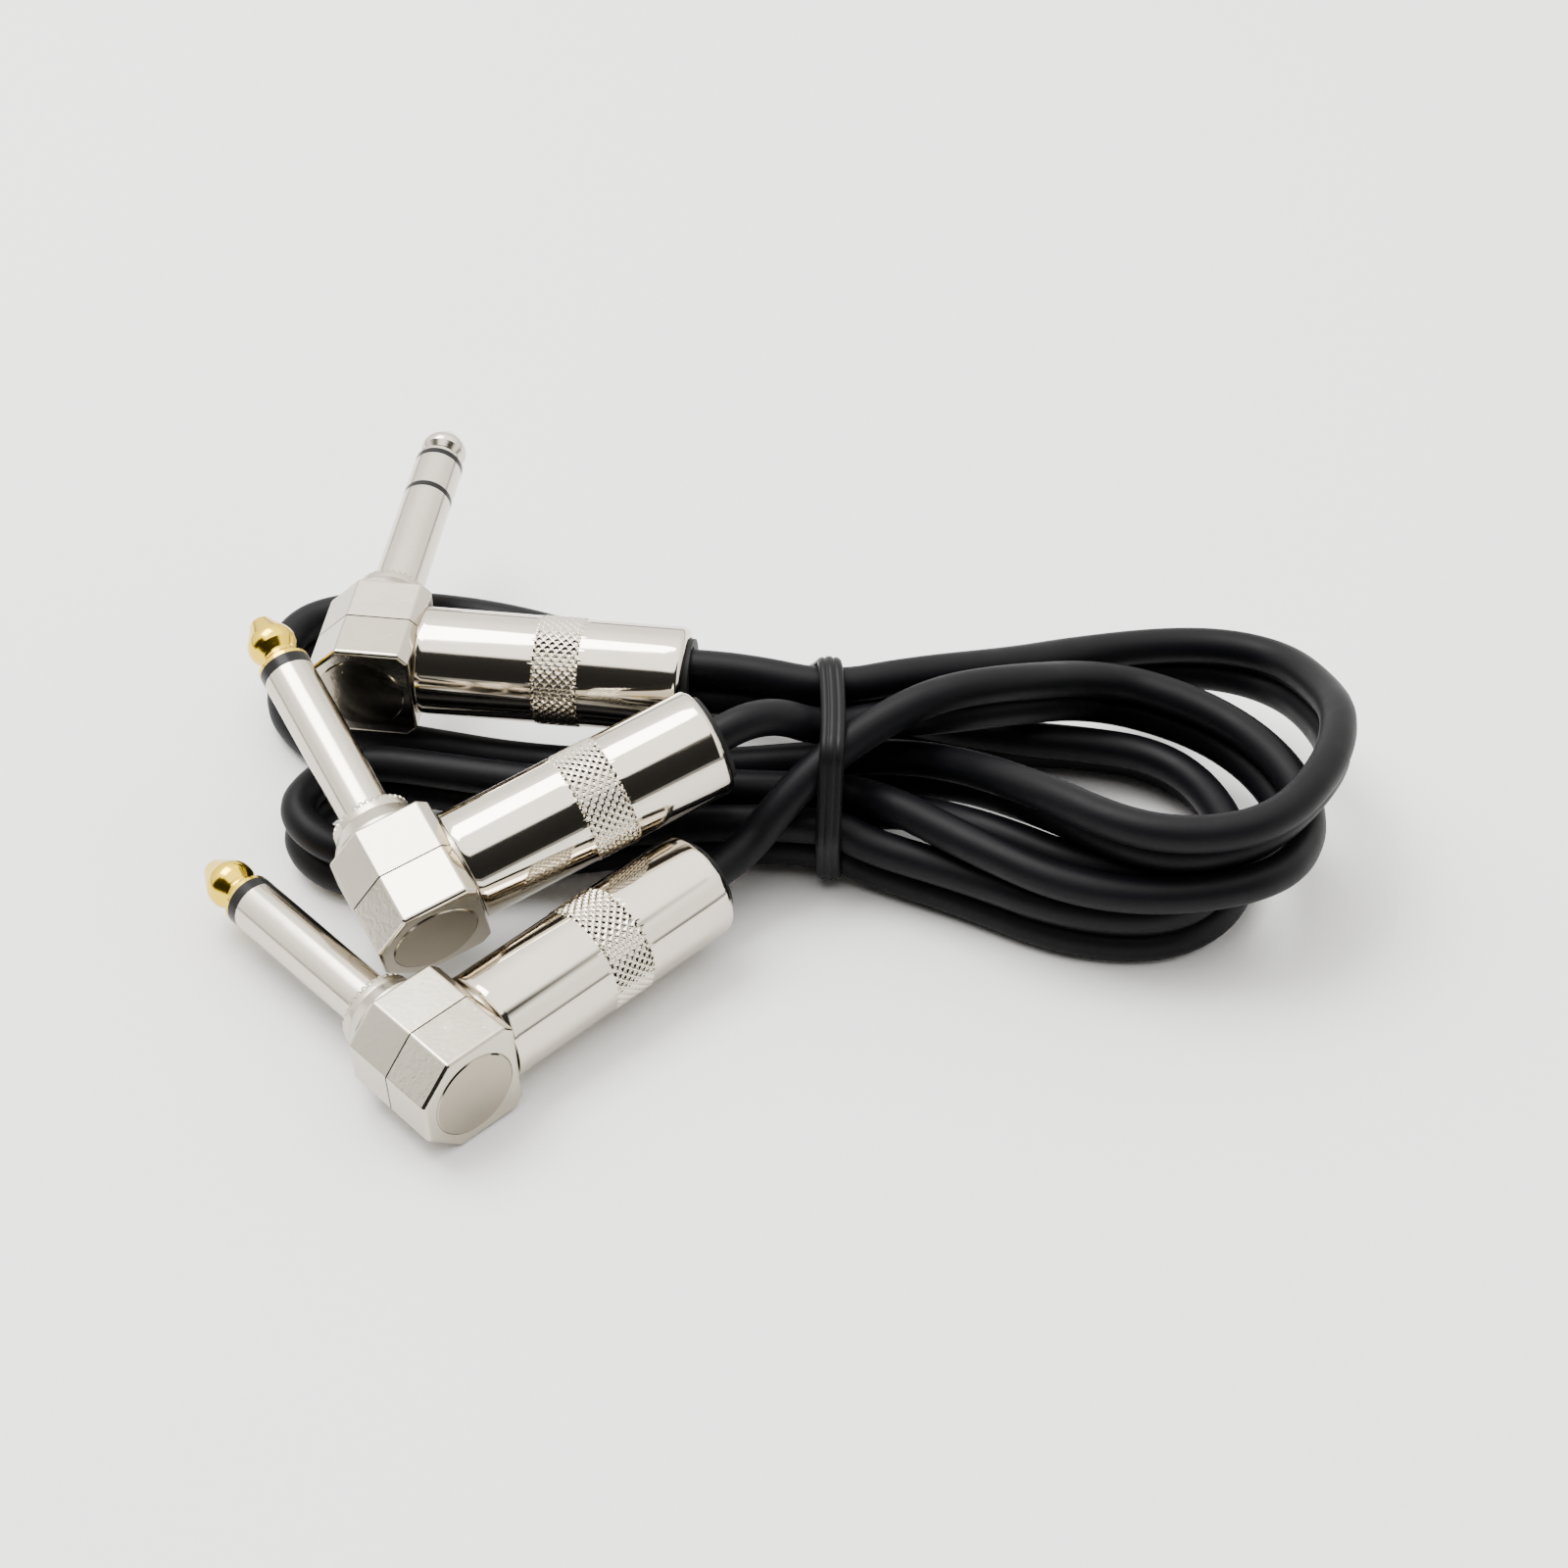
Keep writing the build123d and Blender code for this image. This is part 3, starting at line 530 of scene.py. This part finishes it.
def barrel(plug, material):
    around = diamonds_round * steps_round
    arc = [(barrel_end - rim_round * (1 - sin(a)), barrel_radius - rim_round * (1 - cos(a)))
           for a in (radians(10 * n) for n in range(10))]
    rows = diamonds_along * steps_along
    knurl = [(knurl_from + (knurl_to - knurl_from) * n / rows, None) for n in range(rows + 1)]
    profile = [(barrel_start, bore_radius), (barrel_start, barrel_radius - 0.00012),
               (barrel_start + 0.00004, barrel_radius - 0.00004),
               (barrel_start + 0.00012, barrel_radius)]
    profile += [(barrel_start + 0.0008 * n, barrel_radius) for n in range(1, 18)]
    profile += [(knurl_from - 0.0001, barrel_radius)] + knurl + [(knurl_to + 0.0001, barrel_radius)]
    profile += [(knurl_to + 0.0008 * n, barrel_radius) for n in range(1, 14)]
    profile += arc + [(barrel_end, mouth_radius + 0.00008), (barrel_end - 0.00008, mouth_radius),
                      (barrel_end - lip, mouth_radius), (barrel_end - lip, bore_radius),
                      (barrel_start, bore_radius)]
    rings, places = [], []
    for along, radius in profile:
        ring = []
        for i in range(around):
            turn = i / steps_round
            r = radius
            if r is None:
                down = (along - knurl_from) / (knurl_to - knurl_from) * diamonds_along
                fade = min(1.0, down / 0.25, (diamonds_along - down) / 0.25)
                r = knurl_top - (knurl_top - knurl_pit) * knurl_depth(turn, down) \
                    - 0.00008 * (1 - fade)
            a = 2 * pi * i / around
            ring.append(plug.point(along) + (plug.side * cos(a) + plug.shaft * sin(a)) * r)
            places.append((a * barrel_radius, along))
        rings.append(ring)
    piece = rings_mesh(f"{plug.name}_turned_barrel", rings)
    piece.data.set_sharp_from_angle(angle=radians(40))
    lay = piece.data.uv_layers.new(name="turned")
    for loop in piece.data.loops:
        lay.data[loop.index].uv = places[loop.vertex_index]
    piece.data.materials.append(material)
    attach(piece, f"{plug.name}_barrel")
    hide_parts(f"{plug.name}_barrel")


mirror_nickel = polished_nickel("polished_nickel")
for plug in plugs:
    barrel(plug, mirror_nickel)


# ---- Inside the plugs --------------------------------------------------------------------------
# Tinned brass lugs riveted to the contacts, insulated wires soldered to them, a fibre liner that
# keeps them off the barrel, and a rubber strain relief in its mouth.

def solder_side(name, plug):
    return turned_metal(name, plug, (0.70, 0.70, 0.68), 0.28, 0.45, 0.00002)


rubber = soft_plastic("strain_relief", (0.007, 0.007, 0.007, 1), (0.014, 0.014, 0.014, 1), 0.50,
                      0.65, 0.00004)
fibre = soft_plastic("liner", (0.30, 0.27, 0.20, 1), (0.40, 0.36, 0.28, 1), 0.60, 0.75, 0.00003)
red_wire = soft_plastic("red_wire", (0.28, 0.012, 0.010, 1), (0.38, 0.022, 0.016, 1), 0.35, 0.45,
                        0.00001)
white_wire = soft_plastic("white_wire", (0.62, 0.60, 0.56, 1), (0.74, 0.72, 0.68, 1), 0.35, 0.45,
                          0.00001)
for plug in plugs:
    tinned = solder_side(f"{plug.name}_tinned", plug)
    dress(tinned, "lug", f"{plug.name}_tip_lug", f"{plug.name}_ground_lug")
    dress(rubber, "strain_relief", f"{plug.name}_strain_relief")
    dress(fibre, "liner", f"{plug.name}_liner")
    dress(white_wire, "wire", f"{plug.name}_tip_wire")
    if plug is stereo:
        dress(tinned, "lug", "stereo_ring_lug")
        dress(red_wire, "wire", "stereo_ring_wire")


# ---- Table and light ---------------------------------------------------------------------------
# White paper on a table in a light tent.  The tent is open towards the camera, which is the dark
# band that the polished barrels show, and its walls are darker where they meet the table.

paper, nodes = new_finish("paper")
where = nodes.node("ShaderNodeTexCoord", {}, {}, output=3)
fibres = grain(nodes, where, 700, 4)
paper_colour = nodes.node("ShaderNodeMix", {"data_type": "RGBA"},
                          {"Factor": fibres, 6: (0.88, 0.88, 0.88, 1), 7: (0.92, 0.92, 0.92, 1)},
                          output=2)
close_finish(nodes, {"Base Color": paper_colour, "Roughness": 0.9, "Specular IOR Level": 0.1})
table = bpy.data.meshes.new("table")
table.from_pydata([(-3, -3, 0), (3, -3, 0), (3, 3, 0), (-3, 3, 0)], [], [(0, 1, 2, 3)])
table.materials.append(paper)
table_top = bpy.data.objects.new("table", table)
table_top.location.z = min(0.0, cad_box[0].z) - 0.00005
bpy.context.collection.objects.link(table_top)

tent = bpy.data.worlds.new("tent")
tent.use_nodes = True
tent.node_tree.nodes.clear()
bpy.context.scene.world = tent
nodes = Value(tent.node_tree)
heading = nodes.node("ShaderNodeTexCoord", {}, {}, output=0)
x, y, z = [nodes.node("ShaderNodeSeparateXYZ", {}, {"Vector": heading}, output=n)
           for n in range(3)]


def step(value, low, high):
    return nodes.node("ShaderNodeMapRange", {"interpolation_type": "SMOOTHSTEP"},
                      {"Value": value, "From Min": low, "From Max": high})


opening = step(z, 0.04, 0.10) * (1 - step(z, 0.80, 0.85)) * step(-1 * y, 0.08, 0.20)
opening = opening * (1 - step(x, 0.66, 0.78))
overhead = step(z, 0.35, 0.95)
skirt = 1 - step(z, 0.03, 0.13)
strength = (2.3 + overhead * 1.3) * (1 - opening * 0.985) * (1 - skirt * 0.85)
sky = nodes.node("ShaderNodeBackground", {}, {"Color": (1.0, 0.985, 0.955, 1),
                                              "Strength": strength})
nodes.node("ShaderNodeOutputWorld", {}, {"Surface": sky})

softbox = bpy.data.lights.new("softbox", "AREA")
softbox.shape, softbox.size, softbox.size_y = "RECTANGLE", 0.5, 0.4
softbox.energy = 9.0
softbox_stand = bpy.data.objects.new("softbox", softbox)
softbox_stand.location = (-0.25, 0.20, 0.75)
softbox_stand.rotation_euler = (Vector((0.03, 0, 0)) - softbox_stand.location).to_track_quat(
    "-Z", "Y").to_euler()
bpy.context.collection.objects.link(softbox_stand)
